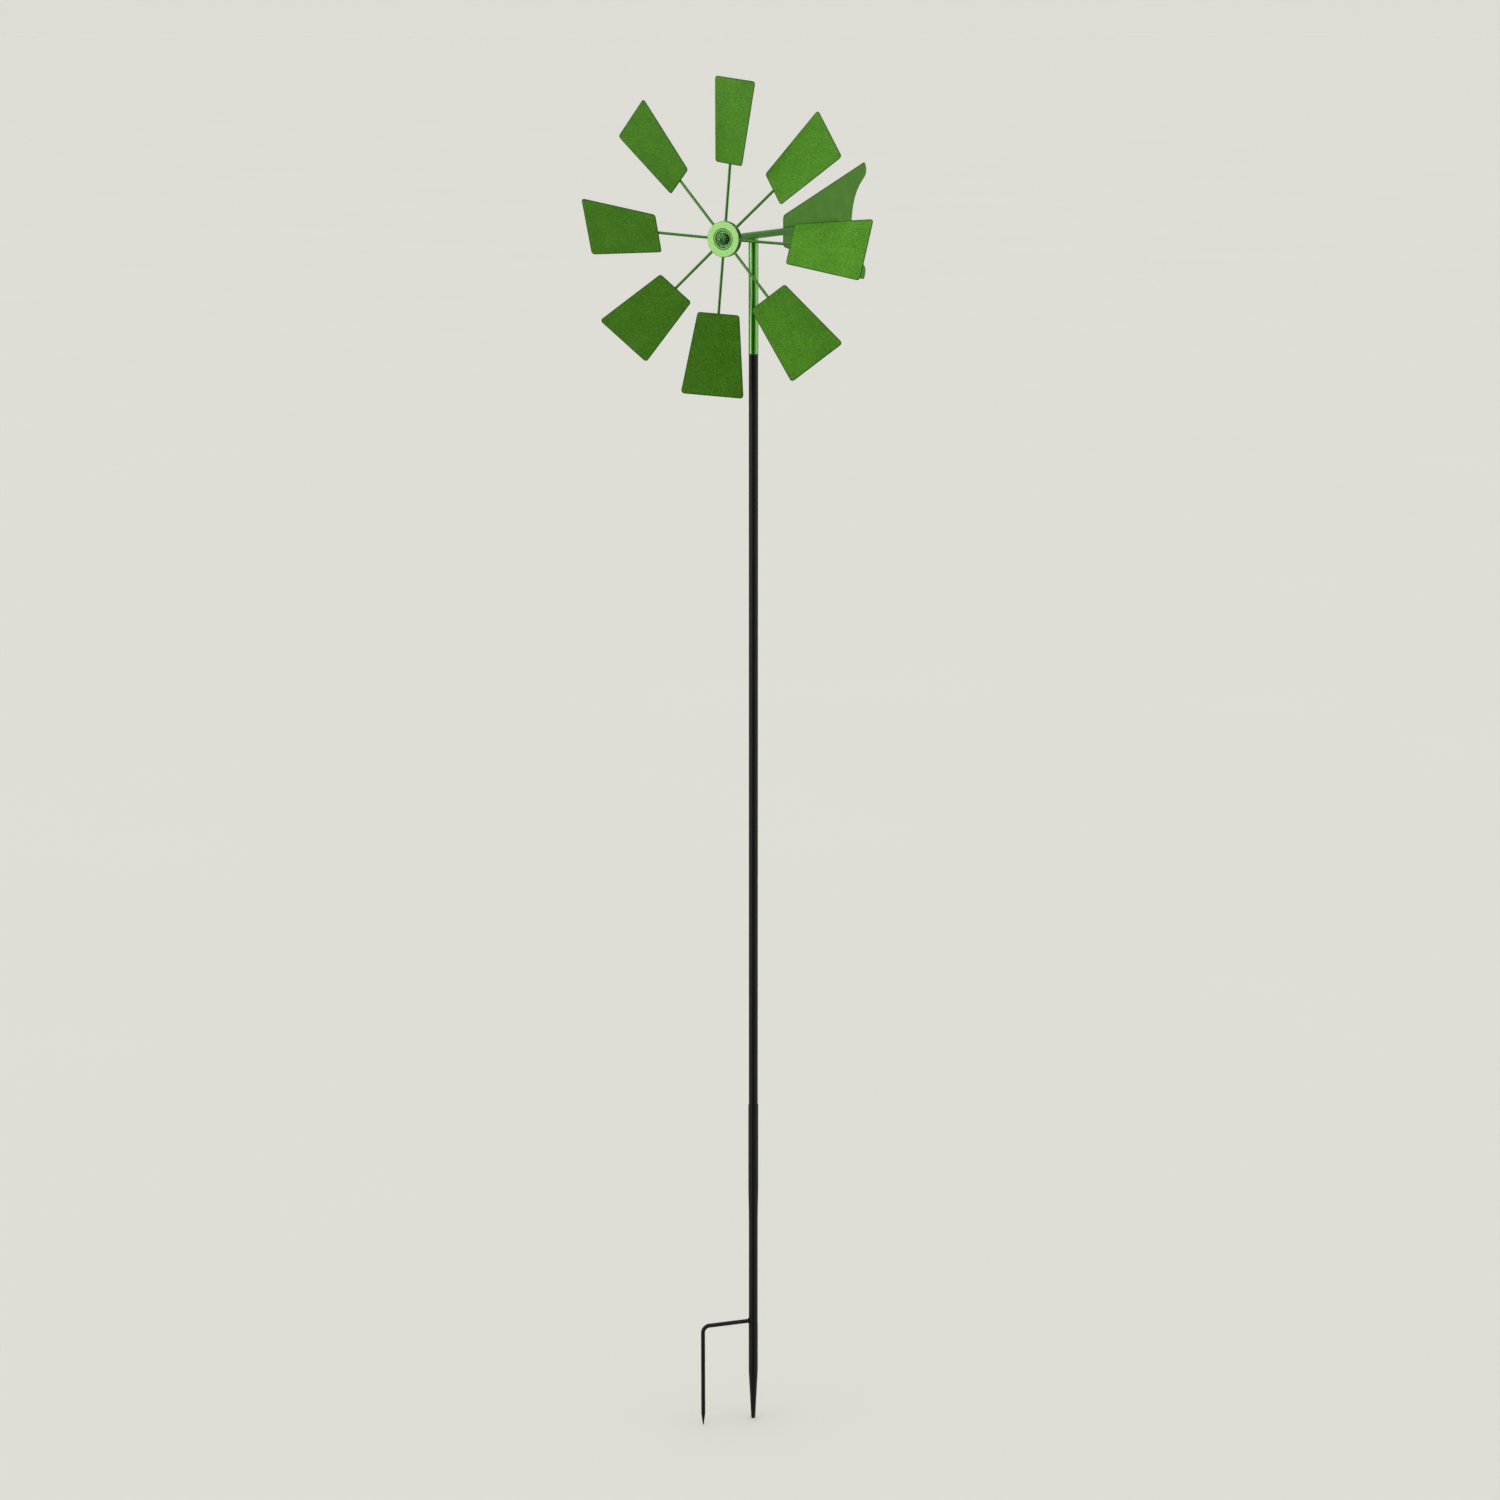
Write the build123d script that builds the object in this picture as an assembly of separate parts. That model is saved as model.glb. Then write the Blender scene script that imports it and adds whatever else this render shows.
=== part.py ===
from build123d import *
import math
import os

# Garden windmill: an eight-bladed wheel and a tail vane on a boom that swivels on top of a
# sectional pole, which is pushed into the ground by a spike and a bent fork rod.
# Millimetres and degrees. The origin is on the pole's axis at the ground line, +Z is up,
# the wheel faces -Y and the tail trails towards +Y. "Clockwise" is seen from the front.

# Heights above the ground line
axle_height = 1466.0          # wheel and boom axis
pole_top = 1315.0             # top face of the upper pole
upper_joint = 814.0           # seam between the upper and middle poles
lower_joint = 313.0           # rim of the socket that takes the middle pole

# Pole sections: thin steel tube
pole_diameter = 12.0
pole_wall = 0.9
spigot_length = 45.0          # reduced end of the middle pole inside the upper pole
spigot_neck = 8.0             # length over which the tube narrows to the spigot inside
socket_wall = 0.6             # the stake's tube is thinner where it is expanded
socket_depth = 120.0
socket_taper = 40.0
tail_insertion = 80.0         # how far the middle pole goes into the socket
section_clearance = 0.05      # radial, between plugged pole sections

# Ground spike: solid bar, straight and then tapered to a blunt point
spike_step = 0.2              # the spike stands proud of the stake's tube by this much
spike_straight = 68.0
spike_depth = 138.0
spike_tip_diameter = 5.4
spike_spigot = 25.0           # turned end inside the stake's tube

# Fork rod: leaves the stake just above the ground, bends down beside the spike
fork_diameter = 5.5
fork_height = 4.5             # axis of the horizontal arm
fork_reach = 71.5             # from the pole's axis to the leg's axis
fork_bend = 9.0               # radius of the bend, on the rod's axis
fork_depth = 138.0
fork_point = 17.0             # length of the ground point
fork_tip_diameter = 1.6
fork_bearing = 225.0          # direction of the arm, anticlockwise from +X seen from above

# Swivel: a fixed pin in the pole's top runs in two bushes inside the mast
pin_diameter = 8.0
plug_length = 30.0
running_clearance = 0.05      # radial, pin in bushes
thrust_ball_diameter = 6.0
ball_seat_depth = 1.5
ball_clearance = 0.05
swivel_gap = 0.3              # between the lower bush's flange and the pole

# Mast: the short green tube under the boom
mast_diameter = 12.5
mast_wall = 1.25
bush_length = 14.0
flange_thickness = 1.2
upper_bush_drop = 12.0        # from the top of the pin down to the upper bush
cap_head = 3.0
cap_spigot = 8.0
saddle_depth = 1.0            # the boom lies this deep in the cap

# Boom: one round bar that is the axle at the front and carries the vane at the back
boom_diameter = 9.0
boom_tail = 260.0             # back end, behind the pole's axis
thread_diameter = 8.0
thread_length = 4.7

# Wheel bearing, washer, nut and collar on the boom
wheel_overhang = 79.0         # from the pole's axis forward to the middle of the hub
bearing_outside = 26.0
bearing_width = 8.0
ball_diameter = 4.76
ball_count = 8
race_land = 1.65              # from the circle of the balls' centres to each ring's face
race_clearance = 0.04         # radial, balls in both grooves
cage_thickness = 1.5
cage_width = 6.2
cage_clearance = 0.1          # radial, balls in their pockets
collar_diameter = 13.5
collar_length = 8.0
washer_diameter = 14.0
washer_thickness = 1.0
nut_across_flats = 13.0
nut_hex_height = 3.0
nut_dome_diameter = 11.0
nut_height = 8.6
nut_chamfer_diameter = 12.6   # circle where the chamfer meets the hexagon's top
nut_chamfer_angle = 30.0
nut_hole_spare = 0.4          # past the end of the thread
fit_clearance = 0.02          # radial, pressed, threaded and welded pieces

# Wheel
hub_diameter = 44.5
hub_width = 8.0
hub_chamfer = 0.8
blade_count = 8
wheel_lean = 3.6              # first blade from the vertical, clockwise
spoke_errors = (1.4, -0.4, -1.3, 0.2, 1.6, -0.9, -0.4, -0.1)   # welded by hand, clockwise
spoke_diameter = 3.5
spoke_root = 6.0              # depth of the spoke's hole in the hub's rim
spoke_lap = 45.0              # length of spoke welded along the back of its blade
blade_inner_radius = 92.5
blade_length = 104.0
blade_inner_width = 52.5
blade_outer_width = 79.5
blade_thickness = 1.0
blade_corner = 4.0
blade_pitch = 24.0            # clockwise edge forward

# Tail vane: flat sheet on the boom's side, symmetric about the boom
vane_thickness = 1.0
vane_front = 94.0             # leading edge, behind the pole's axis
vane_front_half = 20.0
vane_length = 244.0           # from the leading edge to the outer corner of each tip
vane_tip_half = 79.0
heel_back = 7.0               # the heel, each tip's rearmost corner, from the outer corner
heel_in = 14.5
throat_forward = 8.0          # the throat, where the hollow begins, from the outer corner
throat_in = 25.0
hollow_forward = 40.0         # middle of the trailing edge, from the outer corners
vane_front_corner = 6.0
vane_tip_corner = 5.0
vane_heel_corner = 9.0

from_base = (Align.CENTER, Align.CENTER, Align.MIN)
bearing_front = -wheel_overhang - bearing_width / 2
bearing_back = -wheel_overhang + bearing_width / 2
race_diameter = (bearing_outside + boom_diameter) / 2
nut_base = bearing_front - washer_thickness


def upright(diameter, bottom, top):
    """Round bar on the pole's axis between two heights."""
    return Pos(0, 0, bottom) * Cylinder(diameter / 2, top - bottom, align=from_base)


def upright_cone(bottom_diameter, top_diameter, bottom, top):
    """Cone on the pole's axis between two heights."""
    cone = Cone(bottom_diameter / 2, top_diameter / 2, top - bottom, align=from_base)
    return Pos(0, 0, bottom) * cone


def on_boom(diameter, front, back):
    """Round bar on the wheel's axis between two distances behind the pole's axis."""
    bar = Cylinder(diameter / 2, back - front, align=from_base)
    return Pos(0, front, axle_height) * Rot(-90, 0, 0) * bar


def wheel_place(index):
    """Place of one blade or spoke, built pointing up from the middle of the hub."""
    turn = wheel_lean + index * 360 / blade_count + spoke_errors[index]
    return Pos(0, -wheel_overhang, axle_height) * Rot(0, turn, 0)


def nearest_corner(face, y, z):
    return face.vertices().sort_by_distance((y, z, 0))[0]


# Pole

pole_bore = pole_diameter - 2 * pole_wall


def make_upper_pole():
    return upright(pole_diameter, upper_joint, pole_top) - upright(pole_bore, upper_joint, pole_top)


def make_middle_pole():
    """Tube with a reduced spigot on top and a plain tail in the socket."""
    tail = lower_joint - tail_insertion
    top = upper_joint + spigot_length
    neck = upper_joint - spigot_neck
    spigot = pole_bore - 2 * section_clearance
    spigot_bore = spigot - 2 * pole_wall
    outside = upright(pole_diameter, tail, upper_joint) + upright(spigot, upper_joint, top)
    inside = upright(pole_bore, tail, neck)
    inside += upright_cone(pole_bore, spigot_bore, neck, upper_joint)
    inside += upright(spigot_bore, upper_joint, top)
    return outside - inside


def make_lower_stake():
    """Tube whose top is expanded into the socket for the middle pole."""
    socket_bore = pole_diameter + 2 * section_clearance
    socket_outside = socket_bore + 2 * socket_wall
    floor = lower_joint - socket_depth
    neck = floor - socket_taper
    outside = upright(pole_diameter, 0, neck)
    outside += upright_cone(pole_diameter, socket_outside, neck, floor)
    outside += upright(socket_outside, floor, lower_joint)
    inside = upright(pole_bore, 0, neck)
    inside += upright_cone(pole_bore, socket_bore, neck, floor)
    inside += upright(socket_bore, floor, lower_joint)
    return outside - inside


def make_ground_spike():
    """Solid spike with a turned spigot that is welded into the stake's tube."""
    ball = spike_tip_diameter / 2
    spike_diameter = pole_diameter + 2 * spike_step
    spike = upright(spike_diameter, -spike_straight, 0)
    spike += upright_cone(spike_tip_diameter, spike_diameter, ball - spike_depth, -spike_straight)
    spike += Pos(0, 0, ball - spike_depth) * Sphere(ball)
    return spike + upright(pole_bore - 2 * fit_clearance, 0, spike_spigot)


def make_fork_rod():
    """Round rod: arm, bend and pointed leg, with its arm's end coped to the stake's tube."""
    point_top = fork_point - fork_depth
    bulge = fork_bend * (1 - math.sin(math.radians(45)))
    bend_start = (fork_reach - fork_bend, 0, fork_height)
    bend_middle = (fork_reach - bulge, 0, fork_height - bulge)
    bend_end = (fork_reach, 0, fork_height - fork_bend)
    arm = Line((0, 0, fork_height), bend_start)
    bend = ThreePointArc(bend_start, bend_middle, bend_end)
    leg = Line(bend_end, (fork_reach, 0, point_top))
    section = Plane((0, 0, fork_height), z_dir=(1, 0, 0)) * Circle(fork_diameter / 2)
    rod = sweep(section, path=Wire([arm, bend, leg]))
    tip = Cone(fork_tip_diameter / 2, fork_diameter / 2, fork_point, align=from_base)
    rod += Pos(fork_reach, 0, -fork_depth) * tip
    rod -= upright(pole_diameter + 2 * fit_clearance, 0, 4 * fork_height)
    return Rot(0, 0, fork_bearing) * rod


# Swivel

mast_bore = mast_diameter - 2 * mast_wall
pin_bore = pin_diameter + 2 * running_clearance
mast_bottom = pole_top + swivel_gap + flange_thickness
mast_top = axle_height - boom_diameter / 2 + saddle_depth - cap_head
ball_top = mast_top - cap_spigot - ball_clearance
pin_top = ball_top - thrust_ball_diameter + ball_seat_depth


def seated_ball(diameter):
    """Ball at the thrust ball's place on top of the pin."""
    return Pos(0, 0, ball_top - thrust_ball_diameter / 2) * Sphere(diameter / 2)


def make_pole_plug():
    outside = pole_bore - 2 * fit_clearance
    bore = pin_diameter + 2 * fit_clearance
    bottom = pole_top - plug_length
    return upright(outside, bottom, pole_top) - upright(bore, bottom, pole_top)


def make_swivel_pin():
    """Pin with a round seat in its top for the thrust ball."""
    pin = upright(pin_diameter, pole_top - plug_length, pin_top)
    return pin - seated_ball(thrust_ball_diameter + 2 * fit_clearance)


def make_bush(bottom):
    """Plain bush pressed into the mast, running on the pin."""
    bush = upright(mast_bore - 2 * fit_clearance, bottom, bottom + bush_length)
    return bush - upright(pin_bore, bottom, bottom + bush_length)


def make_lower_bush():
    """Bush with a flange under the mast tube's end."""
    flange_bottom = mast_bottom - flange_thickness
    flange = upright(mast_diameter, flange_bottom, mast_bottom)
    return make_bush(mast_bottom) + (flange - upright(pin_bore, flange_bottom, mast_bottom))


def make_mast_tube():
    return upright(mast_diameter, mast_bottom, mast_top) - upright(mast_bore, mast_bottom, mast_top)


def boom_bar(clearance):
    """The boom's full round length, or with a clearance the room that it takes."""
    return on_boom(boom_diameter + 2 * clearance, bearing_front, boom_tail)


def make_mast_cap():
    """Plug in the mast's top, with a saddle that the boom is welded into."""
    cap = upright(mast_diameter, mast_top, mast_top + cap_head)
    cap += upright(mast_bore - 2 * fit_clearance, mast_top - cap_spigot, mast_top)
    return cap - boom_bar(fit_clearance)


# Boom and wheel bearing


def make_boom():
    thread = on_boom(thread_diameter, nut_base - thread_length, bearing_front)
    return boom_bar(0) + thread


def make_collar():
    back = bearing_back + collar_length
    bore = boom_diameter + 2 * fit_clearance
    return on_boom(collar_diameter, bearing_back, back) - on_boom(bore, bearing_back, back)


def race_groove():
    """Ring that the balls run in, centred on the hub."""
    groove = Torus(race_diameter / 2, ball_diameter / 2 + race_clearance)
    return Pos(0, -wheel_overhang, axle_height) * Rot(90, 0, 0) * groove


def make_inner_ring():
    bore = boom_diameter + 2 * fit_clearance
    ring = on_boom(race_diameter - 2 * race_land, bearing_front, bearing_back)
    return ring - on_boom(bore, bearing_front, bearing_back) - race_groove()


def make_outer_ring():
    bore = race_diameter + 2 * race_land
    ring = on_boom(bearing_outside, bearing_front, bearing_back)
    return ring - on_boom(bore, bearing_front, bearing_back) - race_groove()


def ring_of_balls(clearance):
    """The bearing's balls, or with a clearance their pockets in the cage."""
    ball = Pos(0, 0, race_diameter / 2) * Sphere(ball_diameter / 2 + clearance)
    middle = Pos(0, -wheel_overhang, axle_height)
    return [middle * Rot(0, index * 360 / ball_count, 0) * ball for index in range(ball_count)]


def make_bearing_cage():
    front = -wheel_overhang - cage_width / 2
    back = -wheel_overhang + cage_width / 2
    ring = on_boom(race_diameter + cage_thickness, front, back)
    ring -= on_boom(race_diameter - cage_thickness, front, back)
    return ring - ring_of_balls(cage_clearance)


def make_washer():
    bore = thread_diameter + 2 * fit_clearance
    washer = on_boom(washer_diameter, nut_base, bearing_front)
    return washer - on_boom(bore, nut_base, bearing_front)


def make_acorn_nut():
    """Hexagon with chamfered corners, closed by a dome, built with its base at zero."""
    hexagon = extrude(RegularPolygon(nut_across_flats / math.sqrt(3), 6), nut_hex_height)
    chamfer_radius = nut_chamfer_diameter / 2
    base_radius = chamfer_radius + nut_hex_height / math.tan(math.radians(nut_chamfer_angle))
    chamfer_cone = Cone(base_radius, chamfer_radius, nut_hex_height, align=from_base)
    dome_base = nut_height - nut_dome_diameter / 2
    body = hexagon & chamfer_cone
    body += Cylinder(nut_dome_diameter / 2, dome_base, align=from_base)
    body += Pos(0, 0, dome_base) * Sphere(nut_dome_diameter / 2, arc_size1=0, align=from_base)
    hole_depth = thread_length + nut_hole_spare
    hole = Cylinder(thread_diameter / 2 + fit_clearance, hole_depth, align=from_base)
    return Pos(0, nut_base, axle_height) * Rot(90, 0, 0) * (body - hole)


# Wheel


def make_spoke(clearance):
    """Spoke pointing up, or with a clearance the hole that it is welded into."""
    root = hub_diameter / 2 - spoke_root
    end = blade_inner_radius + spoke_lap
    return Pos(0, 0, root) * Cylinder(spoke_diameter / 2 + clearance, end - root, align=from_base)


def make_hub():
    """Turned disc with a bored middle and a ring of spoke holes in its rim."""
    front = -wheel_overhang - hub_width / 2
    back = -wheel_overhang + hub_width / 2
    disc = on_boom(hub_diameter, front, back)
    disc = chamfer(disc.edges().filter_by(GeomType.CIRCLE), hub_chamfer)
    hub = disc - on_boom(bearing_outside + 2 * fit_clearance, front, back)
    for index in range(blade_count):
        hub -= wheel_place(index) * make_spoke(fit_clearance)
    return hub


def make_blade():
    """Trapezoid of sheet on the front of its spoke, turned about the spoke by the pitch."""
    inner = blade_inner_radius
    outer = blade_inner_radius + blade_length
    corners = [(-blade_inner_width / 2, inner), (blade_inner_width / 2, inner),
               (blade_outer_width / 2, outer), (-blade_outer_width / 2, outer)]
    outline = make_face(Polyline(*corners, close=True))
    outline = fillet(outline.vertices(), blade_corner)
    plate = extrude(Plane.XZ * outline, blade_thickness)
    seat = spoke_diameter / 2 + fit_clearance
    return Rot(0, 0, -blade_pitch) * Pos(0, -seat, 0) * plate


# Tail


def vane_side(half):
    """Corners of one side, from the leading edge to the hollow; half is 1 above, -1 below."""
    tip = vane_front + vane_length
    return [(vane_front, half * vane_front_half),
            (tip, half * vane_tip_half),
            (tip + heel_back, half * (vane_tip_half - heel_in)),
            (tip - throat_forward, half * (vane_tip_half - throat_in))]


def make_vane():
    """Sheet with straight edges that spread to two rounded tips and a hollow trailing edge."""
    upper = vane_side(1)
    lower = vane_side(-1)
    waist = (vane_front + vane_length - hollow_forward, 0)
    front = Line(lower[0], upper[0])
    hollow = ThreePointArc(upper[-1], waist, lower[-1])
    outline = make_face([front, Polyline(*upper), Polyline(*lower), hollow])
    for side in (upper, lower):
        for point, radius in zip(side, (vane_front_corner, vane_tip_corner, vane_heel_corner)):
            outline = fillet(nearest_corner(outline, *point), radius)
    back = -boom_diameter / 2 - fit_clearance - vane_thickness
    return Pos(back, 0, axle_height) * extrude(Plane.YZ * outline, vane_thickness)


# Output


def save(name, shape):
    export_step(shape, f"parts/{name}.step")


def main():
    os.makedirs("parts", exist_ok=True)
    save("lower_stake", make_lower_stake())
    save("ground_spike", make_ground_spike())
    save("fork_rod", make_fork_rod())
    save("middle_pole", make_middle_pole())
    save("upper_pole", make_upper_pole())
    save("pole_plug", make_pole_plug())
    save("swivel_pin", make_swivel_pin())
    save("thrust_ball", seated_ball(thrust_ball_diameter))
    save("lower_bush", make_lower_bush())
    save("upper_bush", make_bush(pin_top - upper_bush_drop - bush_length))
    save("mast_tube", make_mast_tube())
    save("mast_cap", make_mast_cap())
    save("boom", make_boom())
    save("tail_vane", make_vane())
    save("axle_collar", make_collar())
    save("bearing_inner_ring", make_inner_ring())
    save("bearing_outer_ring", make_outer_ring())
    save("bearing_cage", make_bearing_cage())
    save("bearing_balls", Compound(children=ring_of_balls(0)))
    save("axle_washer", make_washer())
    save("acorn_nut", make_acorn_nut())
    save("wheel_hub", make_hub())
    for index in range(blade_count):
        save(f"spoke_{index + 1}", wheel_place(index) * make_spoke(0))
        save(f"blade_{index + 1}", wheel_place(index) * make_blade())


main()
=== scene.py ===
"""Garden windmill: an eight-bladed wheel and a tail vane on a boom that swivels on a jointed pole.

The file follows the object as it is put together, from the ground spike up to the wheel, and ends
with the floor, the light and the camera. Sizes are in millimetres and meshes in metres.
"""
import math

import bmesh
import bpy
from mathutils import Matrix, Vector


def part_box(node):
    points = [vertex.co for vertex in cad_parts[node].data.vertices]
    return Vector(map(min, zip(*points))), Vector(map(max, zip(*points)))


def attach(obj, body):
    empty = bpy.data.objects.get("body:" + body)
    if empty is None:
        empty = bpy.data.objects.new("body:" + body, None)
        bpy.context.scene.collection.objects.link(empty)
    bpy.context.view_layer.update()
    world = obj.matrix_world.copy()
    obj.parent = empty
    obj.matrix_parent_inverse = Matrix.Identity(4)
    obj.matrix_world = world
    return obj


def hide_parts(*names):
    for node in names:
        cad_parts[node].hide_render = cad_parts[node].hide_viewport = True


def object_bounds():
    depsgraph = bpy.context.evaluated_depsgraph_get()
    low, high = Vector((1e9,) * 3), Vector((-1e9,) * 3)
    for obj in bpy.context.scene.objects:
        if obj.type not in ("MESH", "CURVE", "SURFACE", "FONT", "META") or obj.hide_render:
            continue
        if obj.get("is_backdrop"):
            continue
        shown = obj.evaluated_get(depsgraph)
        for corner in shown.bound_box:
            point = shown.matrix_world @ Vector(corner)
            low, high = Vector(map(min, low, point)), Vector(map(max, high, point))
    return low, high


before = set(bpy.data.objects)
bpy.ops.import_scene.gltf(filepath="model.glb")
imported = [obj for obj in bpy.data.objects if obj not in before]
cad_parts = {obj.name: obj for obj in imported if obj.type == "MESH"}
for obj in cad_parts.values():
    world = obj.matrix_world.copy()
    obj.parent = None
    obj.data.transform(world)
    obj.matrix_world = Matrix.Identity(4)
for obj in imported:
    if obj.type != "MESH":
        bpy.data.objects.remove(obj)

cad_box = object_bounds()

# ---------------------------------------------------------------------------------------------
# Ground spike: a solid round steel bar drawn down to a blunt point, with a spigot turned on its
# top that is welded into the stake's tube. It goes through the powder coating with the stake.
# ---------------------------------------------------------------------------------------------

MM = 0.001


def linear(code):
    """Linear colour of an sRGB hex code."""
    parts = [int(code[i:i + 2], 16) / 255 for i in (1, 3, 5)]
    return [p / 12.92 if p <= 0.04045 else ((p + 0.055) / 1.055) ** 2.4 for p in parts] + [1.0]


def add(tree, kind, links=None, **settings):
    """One node with its settings; links gives each input its value or the socket it comes from."""
    made = tree.nodes.new(kind)
    for key, value in settings.items():
        setattr(made, key, value)
    for key, value in (links or {}).items():
        if isinstance(value, bpy.types.NodeSocket):
            tree.links.new(value, made.inputs[key])
        else:
            made.inputs[key].default_value = value
    return made


def new_finish(name):
    """A new material's tree, its Object coordinates and a function that closes it with a shader."""
    material = bpy.data.materials.new(name)
    material.use_nodes = True
    tree = material.node_tree
    tree.nodes.clear()

    def close(**inputs):
        links = {key.replace("_", " "): value for key, value in inputs.items()}
        shader = add(tree, "ShaderNodeBsdfPrincipled", links)
        add(tree, "ShaderNodeOutputMaterial", {"Surface": shader.outputs["BSDF"]})
        return material
    return tree, add(tree, "ShaderNodeTexCoord").outputs["Object"], close


def eased(outline, steps=4, rim=0.2):
    """Closed outline of (x, y, corner radius) points with its corners rounded to arcs.

    Each rounded corner gets a point on both sides, rim away, that keeps the flats flat."""
    points = []
    for i, (x, y, radius) in enumerate(outline):
        corner = Vector((x, y))
        if radius == 0:
            points.append(corner)
            continue
        before = (Vector(outline[i - 1][:2]) - corner).normalized()
        after = (Vector(outline[(i + 1) % len(outline)][:2]) - corner).normalized()
        half = before.angle(after) / 2
        cut = radius / math.tan(half)
        middle = corner + (before + after).normalized() * radius / math.sin(half)
        start = corner + before * cut - middle
        end = corner + after * cut - middle
        turn = math.atan2(start.x * end.y - start.y * end.x, start.dot(end))
        points.append(corner + before * (cut + rim))
        for step in range(steps + 1):
            points.append(middle + Matrix.Rotation(turn * step / steps, 2) @ start)
        points.append(corner + after * (cut + rim))
    return points


upright = Matrix.Identity(4)


def finished(name, shape, place=upright):
    """Object made from a bmesh in millimetres, with its place put into its mesh."""
    bmesh.ops.remove_doubles(shape, verts=shape.verts, dist=1e-4)
    bmesh.ops.recalc_face_normals(shape, faces=shape.faces)
    shape.transform(Matrix.Scale(MM, 4) @ place)
    mesh = bpy.data.meshes.new(name)
    shape.to_mesh(mesh)
    shape.free()
    mesh.shade_smooth()
    mesh.set_sharp_from_angle(angle=math.radians(35))
    piece = bpy.data.objects.new(name, mesh)
    bpy.context.scene.collection.objects.link(piece)
    return piece


def turned(name, outline, place=upright, segments=64):
    """Solid of revolution: outline holds (radius, height) points and place carries its axis."""
    shape = bmesh.new()
    rings = []
    for i in range(segments):
        turn = math.tau * i / segments
        rings.append([shape.verts.new((r * math.cos(turn), r * math.sin(turn), h))
                      for r, h in outline])
    for i, ring in enumerate(rings):
        after = rings[(i + 1) % segments]
        for j in range(len(outline)):
            k = (j + 1) % len(outline)
            if outline[j][0] + outline[k][0] > 1e-6:
                corners = [ring[j], ring[k], after[k], after[j]]
                if outline[j][0] < 1e-6:
                    corners.remove(after[j])
                if outline[k][0] < 1e-6:
                    corners.remove(after[k])
                shape.faces.new(corners)
    return finished(name, shape, place)


def millimetres(node):
    """Lowest and highest corner of a CAD node, in millimetres."""
    low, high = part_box(node)
    return low / MM, high / MM


# Satin black powder coat on steel: a cured polyester film, nearly black, that shows a soft broad
# sheen along a round bar and, close up, the shallow dimples of orange peel, 1.5 mm across.
peel_width = 1.5 * MM
cloud_width = 60 * MM
tree, spot, close = new_finish("satin_black_powder_coat_on_steel")
peel = add(tree, "ShaderNodeTexNoise", {"Vector": spot, "Scale": 1 / peel_width, "Detail": 2.0})
cloud = add(tree, "ShaderNodeTexNoise", {"Vector": spot, "Scale": 1 / cloud_width, "Detail": 4.0})
shade = add(tree, "ShaderNodeMixRGB", {"Fac": cloud.outputs["Fac"], "Color1": linear("#0b0a09"),
                                       "Color2": linear("#131210")})
sheen = add(tree, "ShaderNodeMapRange", {"Value": cloud.outputs["Fac"], "To Min": 0.34,
                                         "To Max": 0.46})
bump = add(tree, "ShaderNodeBump", {"Height": peel.outputs["Fac"], "Strength": 0.3,
                                    "Distance": 0.06 * MM})
black_coat = close(Base_Color=shade.outputs["Color"], Roughness=sheen.outputs["Result"],
                   Normal=bump.outputs["Normal"], IOR=1.5, Specular_IOR_Level=0.24)

spike_low, spike_high = millimetres("ground_spike")
spike_radius = spike_high.x
spike_shoulder = -68.0        # where the taper begins, below the ground line
spike_tip_radius = 2.7
spike_spigot_radius = 5.08
spike = turned("ground_spike_drawn", eased([
    (0, spike_low.z, 0),
    (spike_tip_radius, spike_low.z, 2.2),
    (spike_radius, spike_shoulder, 60.0),
    (spike_radius, 0, 0.4),
    (spike_spigot_radius, 0, 0.1),
    (spike_spigot_radius, spike_high.z, 0.8),
    (0, spike_high.z, 0)], steps=6))
spike.data.materials.append(black_coat)
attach(spike, "pole")
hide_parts("ground_spike")

# ---------------------------------------------------------------------------------------------
# Lower stake: thin drawn steel tube that slips over the spike's spigot. Its top 120 mm are
# expanded on a mandrel into a socket for the middle pole, with a long even flare below.
# ---------------------------------------------------------------------------------------------

stake_low, stake_high = millimetres("lower_stake")
tube_radius = 6.0
tube_bore = 5.1
socket_bore = 6.05
socket_depth = 120.0
socket_flare = 40.0           # length of the flare below the socket
flare_ease = 120.0            # radius of the flare's two soft bends
socket_floor = stake_high.z - socket_depth
stake = turned("lower_stake_tube", eased([
    (tube_radius, stake_low.z, 0.15),
    (tube_radius, socket_floor - socket_flare, flare_ease),
    (stake_high.x, socket_floor, flare_ease),
    (stake_high.x, stake_high.z, 0.25),
    (socket_bore, stake_high.z, 0.2),
    (socket_bore, socket_floor, flare_ease),
    (tube_bore, socket_floor - socket_flare, flare_ease),
    (tube_bore, stake_low.z, 0.15)]))
stake.data.materials.append(black_coat)
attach(stake, "pole")
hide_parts("lower_stake")

# ---------------------------------------------------------------------------------------------
# Fork rod: round steel bar bent once through a right angle and ground to a point. Its arm is
# coped to the stake's tube and joined by one fillet weld all round, then coated with the stake.
# ---------------------------------------------------------------------------------------------

rod_radius = 2.75
rod_height = 4.5              # the arm's axis above the ground line
rod_reach = 71.5              # from the pole's axis to the leg's axis
rod_bend = 9.0
rod_foot = millimetres("fork_rod")[0].z
rod_bearing = Matrix.Rotation(math.radians(225), 4, "Z")
bend_steps = 16
rod_sides = 32

arm_start = 3.0               # inside the stake's wall
arm_clear = 8.0               # just outside it
rod_path = [(arm_start, rod_height, rod_radius), (arm_clear, rod_height, rod_radius)]
rod_path += [(rod_reach - rod_bend * (1 - math.sin(a)), rod_height - rod_bend * (1 - math.cos(a)),
              rod_radius) for a in (math.pi / 2 * i / bend_steps for i in range(bend_steps + 1))]
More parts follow.
